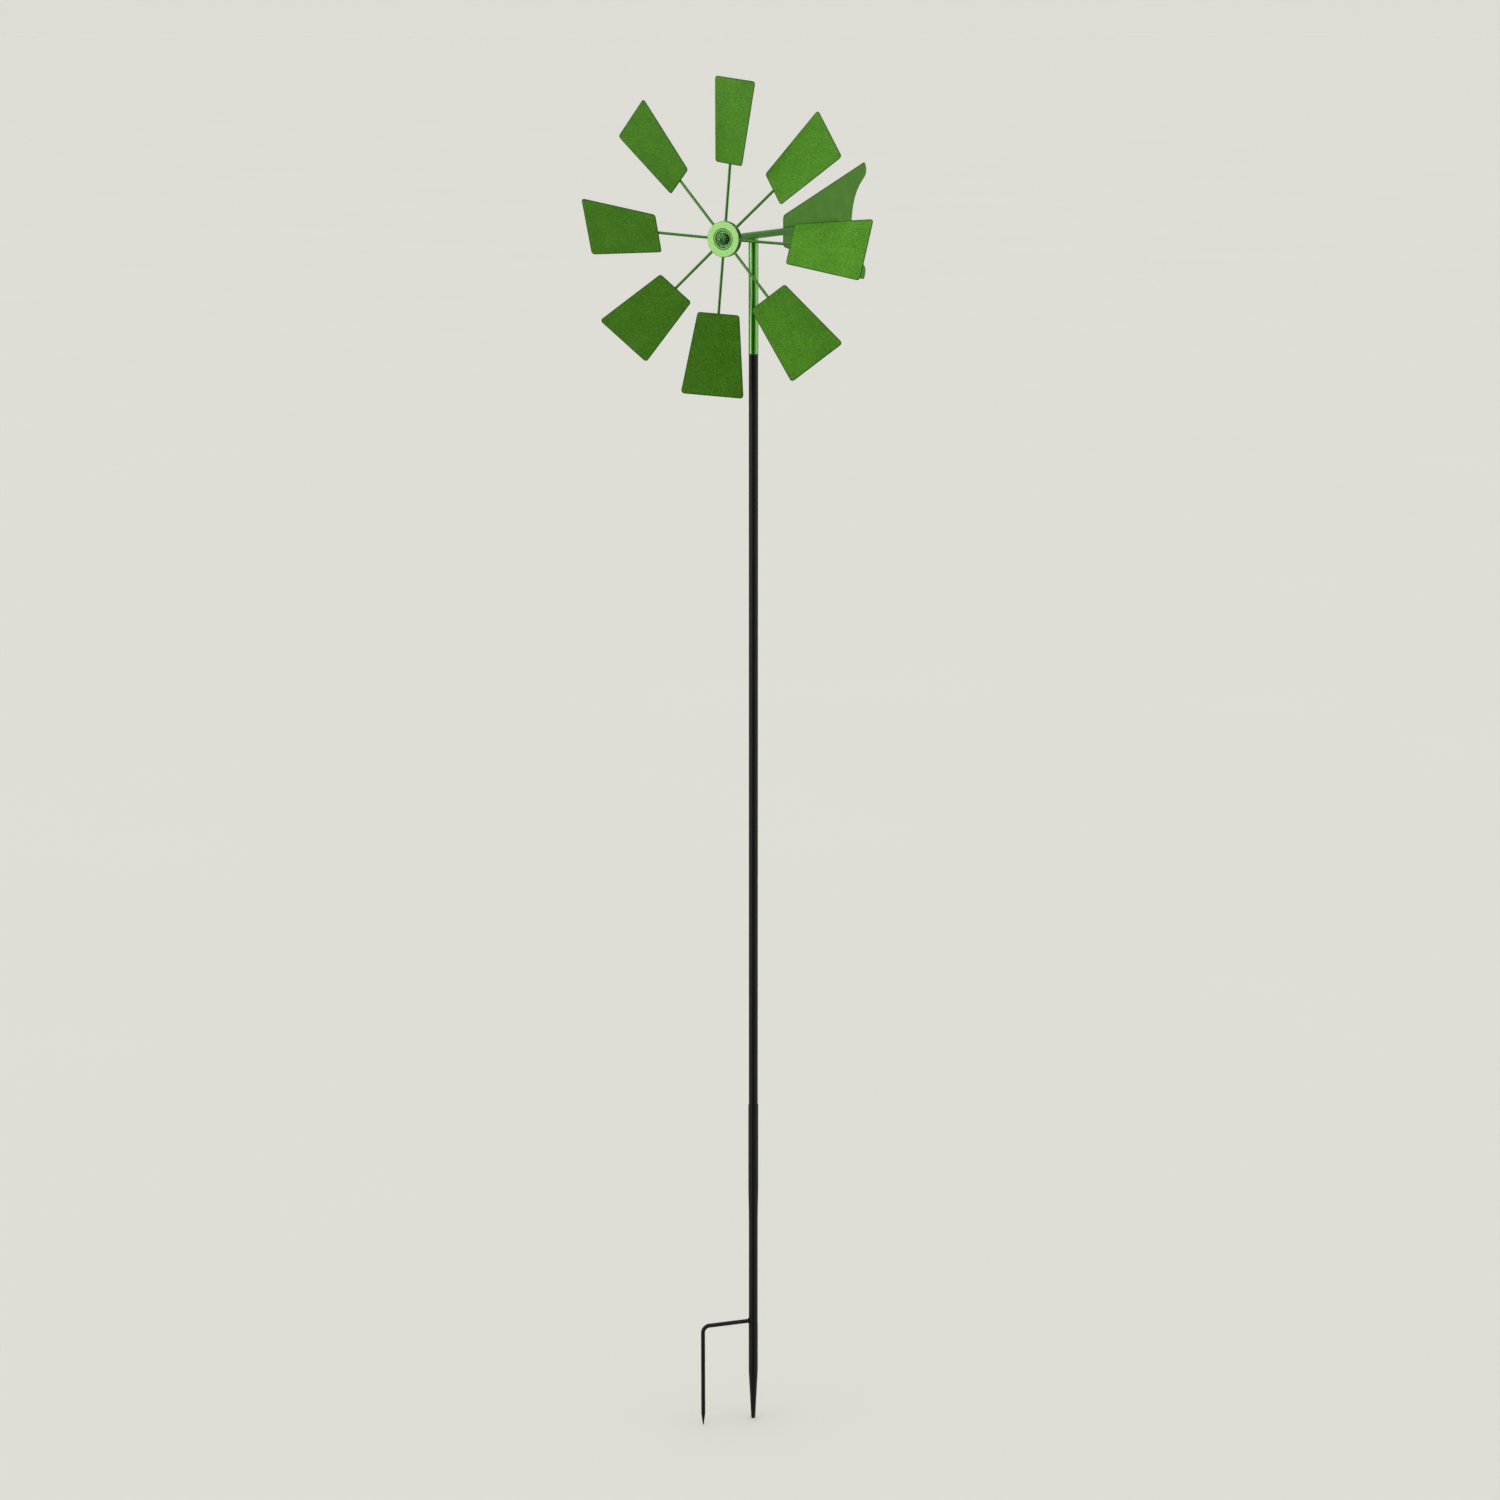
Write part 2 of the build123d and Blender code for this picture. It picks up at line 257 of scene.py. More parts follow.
# The point: full bar until 17 mm from the end, then a ground taper to a rounded tip.
rod_path += [(rod_reach, rod_foot + rise, radius) for rise, radius in (
    (24.0, 2.75), (18.0, 2.75), (16.0, 2.66), (12.0, 2.2), (7.0, 1.55), (2.5, 1.0), (1.2, 0.85),
    (0.5, 0.68), (0.15, 0.4), (0.0, 0.0))]
shape = bmesh.new()
rings = []
for i, (x, z, radius) in enumerate(rod_path):
    x_before, z_before = rod_path[max(i - 1, 0)][:2]
    x_after, z_after = rod_path[min(i + 1, len(rod_path) - 1)][:2]
    along = Vector((x_after - x_before, 0, z_after - z_before)).normalized()
    across = Vector((0, 1, 0)).cross(along)
    rings.append([shape.verts.new(Vector((x, 0, z)) + radius * (
        math.cos(turn) * across + math.sin(turn) * Vector((0, 1, 0))))
        for turn in (math.tau * k / rod_sides for k in range(rod_sides))])
shape.faces.new(rings[0])
for ring, after in zip(rings, rings[1:]):
    for k in range(rod_sides):
        following = (k + 1) % rod_sides
        shape.faces.new((ring[k], ring[following], after[following], after[k]))
fork_rod = finished("fork_rod_bent", shape, rod_bearing)
fork_rod.data.materials.append(black_coat)
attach(fork_rod, "pole")
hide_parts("fork_rod")


def socket(tree, name, kind, way="INPUT"):
    """Named input or output of a Geometry Nodes tree."""
    return tree.interface.new_socket(name=name, in_out=way, socket_type="NodeSocket" + kind)


def grown(base, tree, **inputs):
    """Runs a Geometry Nodes tree on an object and keeps the result as its plain mesh."""
    modifier = base.modifiers.new(tree.name, "NODES")
    modifier.node_group = tree
    for item in tree.interface.items_tree:
        key = item.name.replace(" ", "_").lower()
        if key in inputs:
            modifier[item.identifier] = inputs[key]
    graph = bpy.context.evaluated_depsgraph_get()
    mesh = bpy.data.meshes.new_from_object(base.evaluated_get(graph), depsgraph=graph)
    base.modifiers.clear()
    base.data = mesh
    return base


# A weld run: ripples of solidified metal, each a flattened bead that overlaps the last one.
weld = bpy.data.node_groups.new("weld_run", "GeometryNodeTree")
socket(weld, "Geometry", "Geometry", "OUTPUT")
for name, kind in (("Geometry", "Geometry"), ("Bead Size", "Float"), ("Spacing", "Float"),
                   ("Flatness", "Float"), ("Seed", "Int"), ("Finish", "Material")):
    socket(weld, name, kind)
given = add(weld, "NodeGroupInput").outputs
line = add(weld, "GeometryNodeMeshToCurve", {"Mesh": given["Geometry"]})
steps = add(weld, "GeometryNodeResampleCurve", {"Curve": line.outputs["Curve"],
                                                "Length": given["Spacing"]}, mode="LENGTH")
heading = add(weld, "GeometryNodeInputTangent")
lie = add(weld, "FunctionNodeAlignRotationToVector", {"Vector": heading.outputs["Tangent"]},
          axis="X")
uneven = add(weld, "FunctionNodeRandomValue", {"Min": (0.85, 0.85, 0.85), "Max": (1.1, 1.1, 1.1),
                                               "Seed": given["Seed"]}, data_type="FLOAT_VECTOR")
bead = add(weld, "GeometryNodeMeshUVSphere", {"Segments": 8, "Rings": 6,
                                              "Radius": given["Bead Size"]})
profile = add(weld, "ShaderNodeCombineXYZ", {"X": given["Flatness"], "Y": 1.0, "Z": 1.0})
ripple = add(weld, "GeometryNodeTransform", {"Geometry": bead.outputs["Mesh"],
                                             "Scale": profile.outputs["Vector"]})
beads = add(weld, "GeometryNodeInstanceOnPoints", {
    "Points": steps.outputs["Curve"], "Instance": ripple.outputs["Geometry"],
    "Rotation": lie.outputs["Rotation"], "Scale": uneven.outputs["Value"]})
solid = add(weld, "GeometryNodeRealizeInstances", {"Geometry": beads.outputs["Instances"]})
dressed = add(weld, "GeometryNodeSetMaterial", {"Geometry": solid.outputs["Geometry"],
                                                "Material": given["Finish"]})
add(weld, "NodeGroupOutput", {"Geometry": dressed.outputs["Geometry"]})


def runs(name, lines, place=upright):
    """Edges only: one run of weld for each list of points in millimetres."""
    shape = bmesh.new()
    for points in lines:
        made = [shape.verts.new(point) for point in points]
        for first, second in zip(made, made[1:]):
            shape.edges.new((first, second))
    shape.transform(Matrix.Scale(MM, 4) @ place)
    mesh = bpy.data.meshes.new(name)
    shape.to_mesh(mesh)
    shape.free()
    piece = bpy.data.objects.new(name, mesh)
    bpy.context.scene.collection.objects.link(piece)
    return piece


def saddle_line(bar, drum, height, steps=40):
    """Where a round bar along +X meets an upright drum, all round the bar."""
    points = []
    for i in range(steps + 1):
        turn = math.tau * i / steps
        side = bar * math.cos(turn)
        points.append((math.sqrt(drum ** 2 - side ** 2), side, height + bar * math.sin(turn)))
    return points


fork_weld = runs("fork_weld", [saddle_line(rod_radius + 0.35, tube_radius + 0.1, rod_height)],
                 rod_bearing)
grown(fork_weld, weld, bead_size=1.15 * MM, spacing=0.85 * MM, flatness=0.75, seed=3,
      finish=black_coat)
fork_weld.data.shade_smooth()
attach(fork_weld, "pole")

# ---------------------------------------------------------------------------------------------
# Middle and upper poles: the same steel tube. The middle pole's top is swaged down to a spigot
# that plugs into the upper pole, whose end sits on the shoulder, so the seam is nearly flush.
# ---------------------------------------------------------------------------------------------

middle_low, middle_high = millimetres("middle_pole")
upper_low, upper_high = millimetres("upper_pole")
spigot_radius = 5.05
spigot_bore = 4.15
neck_length = 8.0
middle = turned("middle_pole_tube", eased([
    (tube_radius, middle_low.z, 0.3),
    (tube_radius, upper_low.z, 0.4),
    (spigot_radius, upper_low.z, 0.15),
    (spigot_radius, middle_high.z, 0.3),
    (spigot_bore, middle_high.z, 0.2),
    (spigot_bore, upper_low.z, 3.0),
    (tube_bore, upper_low.z - neck_length, 3.0),
    (tube_bore, middle_low.z, 0.2)]))
upper = turned("upper_pole_tube", eased([
    (tube_radius, upper_low.z, 0.35),
    (tube_radius, upper_high.z, 0.35),
    (tube_bore, upper_high.z, 0.1),
    (tube_bore, upper_low.z, 0.1)]))
for pole, node in ((middle, "middle_pole"), (upper, "upper_pole")):
    pole.data.materials.append(black_coat)
    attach(pole, "pole")
    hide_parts(node)

# ---------------------------------------------------------------------------------------------
# Swivel: a turned plug pressed into the pole's top holds the zinc-plated pin, and a steel ball on
# the pin's top carries the mast. Two moulded nylon bushes in the mast run on the pin.
# ---------------------------------------------------------------------------------------------

# Zinc plate on turned steel: bluish grey metal, cloudy where the passivation varies.
zinc_cloud = 4 * MM
tree, spot, close = new_finish("zinc_plate_on_turned_steel")
cloud = add(tree, "ShaderNodeTexNoise", {"Vector": spot, "Scale": 1 / zinc_cloud, "Detail": 5.0})
tint = add(tree, "ShaderNodeMixRGB", {"Fac": cloud.outputs["Fac"], "Color1": linear("#a9adb0"),
                                      "Color2": linear("#c9c9bf")})
dull = add(tree, "ShaderNodeMapRange", {"Value": cloud.outputs["Fac"], "To Min": 0.25,
                                        "To Max": 0.42})
zinc = close(Base_Color=tint.outputs["Color"], Metallic=1.0, Roughness=dull.outputs["Result"])

# Ground bearing steel with green overspray baked on: a dark greenish grey, with the finest grinding
# marks, drawn 0.15 mm apart so that they show.
grind_pitch = 0.15 * MM
tree, spot, close = new_finish("ground_bearing_steel")
stretch = add(tree, "ShaderNodeMapping", {"Vector": spot, "Scale": (1.0, 6.0, 1.0)})
marks = add(tree, "ShaderNodeTexNoise", {"Vector": stretch.outputs["Vector"],
                                         "Scale": 1 / (6 * grind_pitch), "Detail": 3.0})
tint = add(tree, "ShaderNodeMixRGB", {"Fac": marks.outputs["Fac"], "Color1": linear("#3f6a33"),
                                      "Color2": linear("#74a362")})
bump = add(tree, "ShaderNodeBump", {"Height": marks.outputs["Fac"], "Strength": 0.15,
                                    "Distance": 0.01 * MM})
dull = add(tree, "ShaderNodeMapRange", {"Value": marks.outputs["Fac"], "To Min": 0.16,
                                        "To Max": 0.28})
bearing_steel = close(Base_Color=tint.outputs["Color"], Metallic=1.0,
                      Roughness=dull.outputs["Result"], Normal=bump.outputs["Normal"])

# Moulded black nylon: a soft dull black, with a faint mottle from the mould.
mottle_width = 2.5 * MM
tree, spot, close = new_finish("moulded_black_nylon")
mottle = add(tree, "ShaderNodeTexNoise", {"Vector": spot, "Scale": 1 / mottle_width, "Detail": 3.0})
tint = add(tree, "ShaderNodeMixRGB", {"Fac": mottle.outputs["Fac"], "Color1": linear("#131210"),
                                      "Color2": linear("#1d1c1a")})
dull = add(tree, "ShaderNodeMapRange", {"Value": mottle.outputs["Fac"], "To Min": 0.38,
                                        "To Max": 0.52})
nylon = close(Base_Color=tint.outputs["Color"], Roughness=dull.outputs["Result"], IOR=1.53)

for node, finish in (("pole_plug", zinc), ("swivel_pin", zinc), ("thrust_ball", bearing_steel),
                     ("upper_bush", nylon)):
    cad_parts[node].data.materials.clear()
    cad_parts[node].data.materials.append(finish)

bush_low, bush_high = millimetres("lower_bush")
mast_low, mast_high = millimetres("mast_tube")
pin_bore = 4.05
bush_radius = 4.98
bush = turned("lower_bush_flanged", eased([
    (pin_bore, bush_low.z, 0.3),
    (bush_high.x, bush_low.z, 0.3),
    (bush_high.x, mast_low.z, 0.2),
    (bush_radius, mast_low.z, 0.1),
    (bush_radius, bush_high.z, 0.4),
    (pin_bore, bush_high.z, 0.3)], rim=0.08))
bush.data.materials.append(nylon)
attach(bush, "head")
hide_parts("lower_bush")

# ---------------------------------------------------------------------------------------------
# Mast: short steel tube with a turned cap pressed into its top, whose saddle takes the boom. One
# weld runs round the saddle, and the whole head is sprayed with green metallic lacquer.
# ---------------------------------------------------------------------------------------------

# Green metallic lacquer on drawn tube: tinted clear coat over fine bright flake, so a round tube
# shows long sharp light and dark streaks; the flake is 0.1 mm, drawn at 0.8 mm so that it shows.
flake_width = 0.8 * MM
flake_depth = 0.01 * MM
drift_width = 25 * MM


def green_lacquer(name, deep, bright, metal, roughness, coat, grain, grain_depth):
    """Metallic green lacquer whose speckle is one grain wide and one grain_depth high.

    It darkens with painted shade where a mesh has the attribute edge, and varies a little with
    the attribute tone."""
    tree, spot, close = new_finish(name)
    flake = add(tree, "ShaderNodeTexNoise", {"Vector": spot, "Scale": 1 / grain, "Detail": 2.0,
                                             "Roughness": 0.6})
    drift = add(tree, "ShaderNodeTexNoise", {"Vector": spot, "Scale": 1 / drift_width,
                                             "Detail": 3.0})
    level = add(tree, "ShaderNodeMapRange", {"Value": flake.outputs["Fac"], "From Min": 0.33,
                                             "From Max": 0.67})
    speckle = add(tree, "ShaderNodeMixRGB", {"Fac": level.outputs["Result"],
                                             "Color1": linear(deep), "Color2": linear(bright)})
    patch = add(tree, "ShaderNodeMapRange", {"Value": drift.outputs["Fac"], "From Min": 0.3,
                                             "From Max": 0.7, "To Min": 0.9, "To Max": 1.08})
    # Painted shade along the cut edges: the colour falls to 0.35 of itself where edge is 1.
    edge = add(tree, "ShaderNodeAttribute", attribute_name="edge")
    painted_edge_shade = add(tree, "ShaderNodeMapRange", {"Value": edge.outputs["Fac"], "From Min": 0.2,
                                             "To Min": 1.0, "To Max": 0.35})
    tone = add(tree, "ShaderNodeAttribute", attribute_name="tone")
    booth = add(tree, "ShaderNodeMapRange", {"Value": tone.outputs["Fac"], "To Min": 0.97,
                                             "To Max": 1.03})
    gain = add(tree, "ShaderNodeMath", {0: patch.outputs["Result"], 1: painted_edge_shade.outputs["Result"]},
               operation="MULTIPLY")
    gain = add(tree, "ShaderNodeMath", {0: gain.outputs["Value"], 1: booth.outputs["Result"]},
               operation="MULTIPLY")
    colour = add(tree, "ShaderNodeVectorMath", {0: speckle.outputs["Color"],
                                                "Scale": gain.outputs["Value"]},
                 operation="SCALE")
    dull = add(tree, "ShaderNodeMapRange", {"Value": flake.outputs["Fac"],
                                            "To Min": roughness - 0.05,
                                            "To Max": roughness + 0.05})
    bump = add(tree, "ShaderNodeBump", {"Height": flake.outputs["Fac"], "Strength": 0.35,
                                        "Distance": grain_depth})
    return close(Base_Color=colour.outputs["Vector"], Metallic=metal,
                 Roughness=dull.outputs["Result"], Normal=bump.outputs["Normal"],
                 Coat_Weight=coat, Coat_Roughness=0.08)


tube_lacquer = green_lacquer("green_metallic_lacquer_on_tube", "#458e22", "#62aa38", 0.8, 0.17, 1.0,
                             flake_width, flake_depth)

mast_radius = mast_high.x
mast_bore = 5.0
mast = turned("mast_tube_drawn", eased([
    (mast_radius, mast_low.z, 0.35),
    (mast_radius, mast_high.z, 0.15),
    (mast_bore, mast_high.z, 0.1),
    (mast_bore, mast_low.z, 0.3)]))
mast.data.materials.append(tube_lacquer)
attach(mast, "head")
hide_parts("mast_tube")

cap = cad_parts["mast_cap"]
cap.data.materials.clear()
cap.data.materials.append(tube_lacquer)

boom_low, boom_high = millimetres("boom")
boom_radius = boom_high.x
axle_height = (boom_low.z + boom_high.z) / 2
cap_top = millimetres("mast_cap")[1].z


def saddle_weld():
    """Closed line where the boom lies in the cap: its two sides, and its ends under the boom."""
    reach = math.acos((axle_height - cap_top) / boom_radius)
    points = []
    for way in (1, -1):
        for i in range(13):
            turn = way * reach * (i / 6 - 1)
            x = (boom_radius + 0.2) * math.sin(turn)
            z = axle_height - (boom_radius + 0.2) * math.cos(turn)
            points.append((x, way * math.sqrt(mast_radius ** 2 - x ** 2), z))
    return points + points[:1]


mast_weld = grown(runs("mast_weld", [saddle_weld()]), weld, bead_size=0.95 * MM,
                  spacing=0.7 * MM, flatness=0.7, seed=5, finish=tube_lacquer)
mast_weld.data.shade_smooth()
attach(mast_weld, "head")

# ---------------------------------------------------------------------------------------------
# Boom: one round steel bar. Its turned front end is the wheel's axle, with a thread for the cap
# nut, and its back half carries the tail vane. The back end is only deburred.
# ---------------------------------------------------------------------------------------------

# Satin green metallic lacquer on bar: the same paint without its clear coat, so the bar keeps one
# even, saturated green with only a soft streak along it.
bar_lacquer = green_lacquer("green_metallic_lacquer_on_bar", "#40881f", "#5fa63c", 0.92, 0.28, 0.0,
                            flake_width, flake_depth)

along_boom = Matrix.Translation((0, 0, axle_height)) @ Matrix.Rotation(math.radians(-90), 4, "X")
bearing_low, bearing_high = millimetres("bearing_outer_ring")
thread_radius = 4.0
boom = turned("boom_bar", eased([
    (0, boom_low.y, 0),
    (thread_radius, boom_low.y, 0.8),
    (thread_radius, bearing_low.y, 0),
    (boom_radius, bearing_low.y, 0.4),
    (boom_radius, boom_high.y, 0.7),
    (0, boom_high.y, 0)]), along_boom)
boom.data.materials.append(bar_lacquer)
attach(boom, "head")
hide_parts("boom")

# ---------------------------------------------------------------------------------------------
# Tail vane: one blank of 1 mm steel sheet, laser-cut with rounded corners and a hollow trailing
# edge, set against the boom's side and held by short welds above and below the bar.
# ---------------------------------------------------------------------------------------------


def plate(name, outline, thickness, place, band=2.0, steps=6):
    """Flat sheet from an anticlockwise outline of (x, y, corner radius). Its cut edge is rounded,
    and the attribute edge, the mask for painted shade, goes from 1 there to 0 at one band inside
    it, on both faces."""
    line = []
    for i, (x, y, radius) in enumerate(outline):
        corner = Vector((x, y))
        arriving = (corner - Vector(outline[i - 1][:2])).normalized()
        leaving = (Vector(outline[(i + 1) % len(outline)][:2]) - corner).normalized()
        first = Vector((arriving.y, -arriving.x))
        last = Vector((leaving.y, -leaving.x))
        swing = math.atan2(first.x * last.y - first.y * last.x, first.dot(last))
        if radius == 0:
            line.append((corner, (first + last).normalized()))
            continue
        middle = corner + (leaving - arriving).normalized() * radius / math.cos(swing / 2)
        for step in range(steps + 1):
            outward = Matrix.Rotation(swing * step / steps, 2) @ first
            line.append((middle + outward * math.copysign(radius, swing), outward))
    half = thickness / 2
    turns = [math.pi * step / steps for step in range(steps + 1)]
    levels = [(band, half, 0.0)]
    levels += [(half - half * math.sin(turn), half * math.cos(turn), 1.0) for turn in turns]
    levels += [(band, -half, 0.0)]
    shape = bmesh.new()
    edge = shape.verts.layers.float.new("edge")
    rings = []
    for inset, height, value in levels:
        rings.append([shape.verts.new((*(point - outward * inset), height))
                      for point, outward in line])
        for vertex in rings[-1]:
            vertex[edge] = value
    shape.faces.new(rings[0])
    shape.faces.new(reversed(rings[-1]))
    for ring, after in zip(rings, rings[1:]):
        for k in range(len(line)):
            following = (k + 1) % len(line)
            shape.faces.new((ring[k], after[k], after[following], ring[following]))
    return finished(name, shape, place)


# Green metallic lacquer on sheet: the same paint over a blasted blank, so the flat faces are matt
# with a sandy grain of 1 to 2 mm, and a darker line of painted shade runs along the cut edges.
sand_width = 1.5 * MM
sheet_lacquer = green_lacquer("green_metallic_lacquer_on_sheet", "#37790f", "#64a622", 0.6, 0.46,
                              0.0, sand_width, 0.1 * MM)

vane_low, vane_high = millimetres("tail_vane")
vane_front = vane_low.y
vane_front_half = 20.0
tip_back = 244.0              # from the leading edge to each tip's outer corner
tip_half = 79.0
heel_back, heel_in = 7.0, 14.5
throat_forward, throat_in = 8.0, 25.0
waist_forward = 40.0
hollow_steps = 24

tip = vane_front + tip_back
throat = Vector((tip - throat_forward, tip_half - throat_in))
waist = tip - waist_forward
hollow_radius = ((throat.x - waist) ** 2 + throat.y ** 2) / (2 * (throat.x - waist))
hollow_reach = math.asin(throat.y / hollow_radius)
side = [(vane_front, vane_front_half, 6.0), (tip, tip_half, 5.0),
        (tip + heel_back, tip_half - heel_in, 9.0)]
hollow = [hollow_reach * (2 * i / hollow_steps - 1) for i in range(hollow_steps + 1)]
vane_outline = [(y, -z, radius) for y, z, radius in side]
vane_outline += [(waist + hollow_radius * (1 - math.cos(turn)), hollow_radius * math.sin(turn), 0)
                 for turn in hollow]
vane_outline += reversed(side)
vane_middle = (vane_low.x + vane_high.x) / 2
on_vane = Matrix(((0, 0, 1, vane_middle), (1, 0, 0, 0), (0, 1, 0, axle_height), (0, 0, 0, 1)))
vane = plate("tail_vane_sheet", vane_outline, vane_high.x - vane_low.x, on_vane)
vane.data.materials.append(sheet_lacquer)
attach(vane, "head")
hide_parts("tail_vane")

stitch_starts = (101.0, 169.0, 233.0)
stitch_length = 20.0
stitch_lift = 3.1             # above and below the axle, where bar and sheet leave a groove
stitch_out = vane_high.x + 0.55
stitches = [[(stitch_out, start, axle_height + lift),
             (stitch_out, start + stitch_length, axle_height + lift)]
            for start in stitch_starts for lift in (stitch_lift, -stitch_lift)]
vane_weld = grown(runs("vane_welds", stitches), weld, bead_size=0.95 * MM, spacing=0.8 * MM,
                  flatness=0.75, seed=8, finish=bar_lacquer)
vane_weld.data.shade_smooth()
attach(vane_weld, "head")

# ---------------------------------------------------------------------------------------------
# Axle collar: a short ring turned from steel bar, pressed on the boom and lacquered with it. It
# stops the bearing's inner ring from moving back.
# ---------------------------------------------------------------------------------------------

collar_low, collar_high = millimetres("axle_collar")
collar = turned("axle_collar_turned", eased([
    (boom_radius, collar_low.y, 0.2),
    (collar_high.x, collar_low.y, 0.5),
    (collar_high.x, collar_high.y, 0.5),
    (boom_radius, collar_high.y, 0.2)]), along_boom)
collar.data.materials.append(tube_lacquer)
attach(collar, "head")
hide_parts("axle_collar")

# ---------------------------------------------------------------------------------------------
# Wheel bearing: open ball bearing of hardened steel. The inner ring sits on the boom, the outer
# ring is pressed into the hub, and a pressed cage keeps eight balls apart between them.
# ---------------------------------------------------------------------------------------------

inner_face = millimetres("bearing_inner_ring")[1].x
inner_back = 4.52
outer_face = 10.4
hub_middle = (bearing_low.y + bearing_high.y) / 2
bearing_half = (bearing_high.y - bearing_low.y) / 2
ball_radius = 2.38
race_radius = (bearing_high.x + boom_radius) / 2
groove_steps = 10


def ring_section(face, back):
    """Outline of one ring: a face with a round groove for the balls, and a plain back."""
    way = math.copysign(1, back - face)
    groove = ball_radius + 0.04
    reach = math.acos(abs(race_radius - face) / groove)
    turns = [reach * (2 * i / groove_steps - 1) for i in range(groove_steps + 1)]
    track = [(race_radius + way * groove * math.cos(turn), hub_middle + groove * math.sin(turn), 0)
             for turn in turns]
    low, high = hub_middle - bearing_half, hub_middle + bearing_half
    return [(face, low, 0.3)] + track + [(face, high, 0.3), (back, high, 0.35), (back, low, 0.35)]


inner_ring = turned("bearing_inner_race", eased(ring_section(inner_face, inner_back)), along_boom)
outer_ring = turned("bearing_outer_race", eased(ring_section(outer_face, bearing_high.x)),
                    along_boom)
for ring, body, node in ((inner_ring, "head", "bearing_inner_ring"),
                         (outer_ring, "wheel", "bearing_outer_ring")):
    ring.data.materials.append(bearing_steel)
    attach(ring, body)
    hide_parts(node)

# Pieces repeated round the axle: one copy of a piece at each point, turned about the axle by the
# point's own angle, each with its own tone because no two parts leave a spray booth the same.
around = bpy.data.node_groups.new("round_the_axle", "GeometryNodeTree")
socket(around, "Geometry", "Geometry", "OUTPUT")
for name, kind in (("Geometry", "Geometry"), ("Piece", "Object"), ("Seed", "Int"),
                   ("Finish", "Material")):
    socket(around, name, kind)
given = add(around, "NodeGroupInput").outputs
piece = add(around, "GeometryNodeObjectInfo", {"Object": given["Piece"]})
turn = add(around, "GeometryNodeInputNamedAttribute", {"Name": "turn"}, data_type="FLOAT")
facing = add(around, "ShaderNodeCombineXYZ", {"Y": turn.outputs["Attribute"]})
copies = add(around, "GeometryNodeInstanceOnPoints", {
    "Points": given["Geometry"], "Instance": piece.outputs["Geometry"],
    "Rotation": facing.outputs["Vector"]})
tone = add(around, "FunctionNodeRandomValue", {"Seed": given["Seed"]}, data_type="FLOAT")
toned = add(around, "GeometryNodeStoreNamedAttribute", {
    "Geometry": copies.outputs["Instances"], "Name": "tone",
    "Value": [out for out in tone.outputs if out.type == "VALUE"][0]},
    data_type="FLOAT", domain="INSTANCE")
real = add(around, "GeometryNodeRealizeInstances", {"Geometry": toned.outputs["Geometry"]})
dressed = add(around, "GeometryNodeSetMaterial", {"Geometry": real.outputs["Geometry"],
                                                  "Material": given["Finish"]})
add(around, "NodeGroupOutput", {"Geometry": dressed.outputs["Geometry"]})

axle_point = (0, hub_middle * MM, axle_height * MM)


def ring_of(name, piece, turns, seed, finish):
    """Copies of a piece, made pointing up from the axle, turned clockwise by each of the turns."""
    points = bpy.data.meshes.new(name)
    points.from_pydata([axle_point] * len(turns), [], [])
    points.attributes.new("turn", "FLOAT", "POINT").data.foreach_set("value", turns)
    ring = bpy.data.objects.new(name, points)
    bpy.context.scene.collection.objects.link(ring)
    grown(ring, around, piece=piece, seed=seed, finish=finish)
    bpy.data.objects.remove(piece)
    return ring


ball_rows = 12
ball_section = [(ball_radius * math.sin(math.pi * i / ball_rows),
                 -ball_radius * math.cos(math.pi * i / ball_rows)) for i in range(ball_rows + 1)]
ball_section[0] = (0, -ball_radius)
ball_section[-1] = (0, ball_radius)
one_ball = turned("one_ball", ball_section, Matrix.Translation((0, 0, race_radius)), 24)
ball_count = 8
balls = ring_of("bearing_ball_set", one_ball,
                [math.tau * i / ball_count for i in range(ball_count)], 1, bearing_steel)
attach(balls, "bearing_cage")
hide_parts("bearing_balls")

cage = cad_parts["bearing_cage"]
cage.data.materials.clear()
cage.data.materials.append(bearing_steel)

# ---------------------------------------------------------------------------------------------
# Hub: a disc turned from bar, bored for the bearing, with eight spoke holes drilled in its rim.
# It is plated bright and then lacquered in a paler green, so it shines more than the blades.
# ---------------------------------------------------------------------------------------------

# Pale green lacquer on a turned disc: bright, with the lathe's circular feed marks under it; the
# feed is 0.2 mm a turn, drawn at 0.7 mm so that it shows.
feed = 0.7 * MM
tree, spot, close = new_finish("pale_green_lacquer_on_turned_hub")
centred = add(tree, "ShaderNodeMapping", {"Vector": spot,
                                          "Location": tuple(-c for c in axle_point)})
apart = add(tree, "ShaderNodeSeparateXYZ", {"Vector": centred.outputs["Vector"]})
flat = add(tree, "ShaderNodeCombineXYZ", {"X": apart.outputs["X"], "Y": apart.outputs["Z"]})
away = add(tree, "ShaderNodeVectorMath", {0: flat.outputs["Vector"]}, operation="LENGTH")
phase = add(tree, "ShaderNodeMath", {0: away.outputs["Value"], 1: math.tau / feed},
            operation="MULTIPLY")
groove = add(tree, "ShaderNodeMath", {0: phase.outputs["Value"]}, operation="SINE")
flake = add(tree, "ShaderNodeTexNoise", {"Vector": spot, "Scale": 1 / flake_width, "Detail": 3.0})
tint = add(tree, "ShaderNodeMixRGB", {"Fac": flake.outputs["Fac"], "Color1": linear("#71a354"),
                                      "Color2": linear("#91bf73")})
dull = add(tree, "ShaderNodeMapRange", {"Value": flake.outputs["Fac"], "To Min": 0.24,
                                        "To Max": 0.38})
bump = add(tree, "ShaderNodeBump", {"Height": groove.outputs["Value"], "Strength": 0.2,
                                    "Distance": 0.01 * MM})
hub_lacquer = close(Base_Color=tint.outputs["Color"], Metallic=0.8,
                    Roughness=dull.outputs["Result"], Normal=bump.outputs["Normal"],
                    Coat_Weight=0.3, Coat_Roughness=0.1)
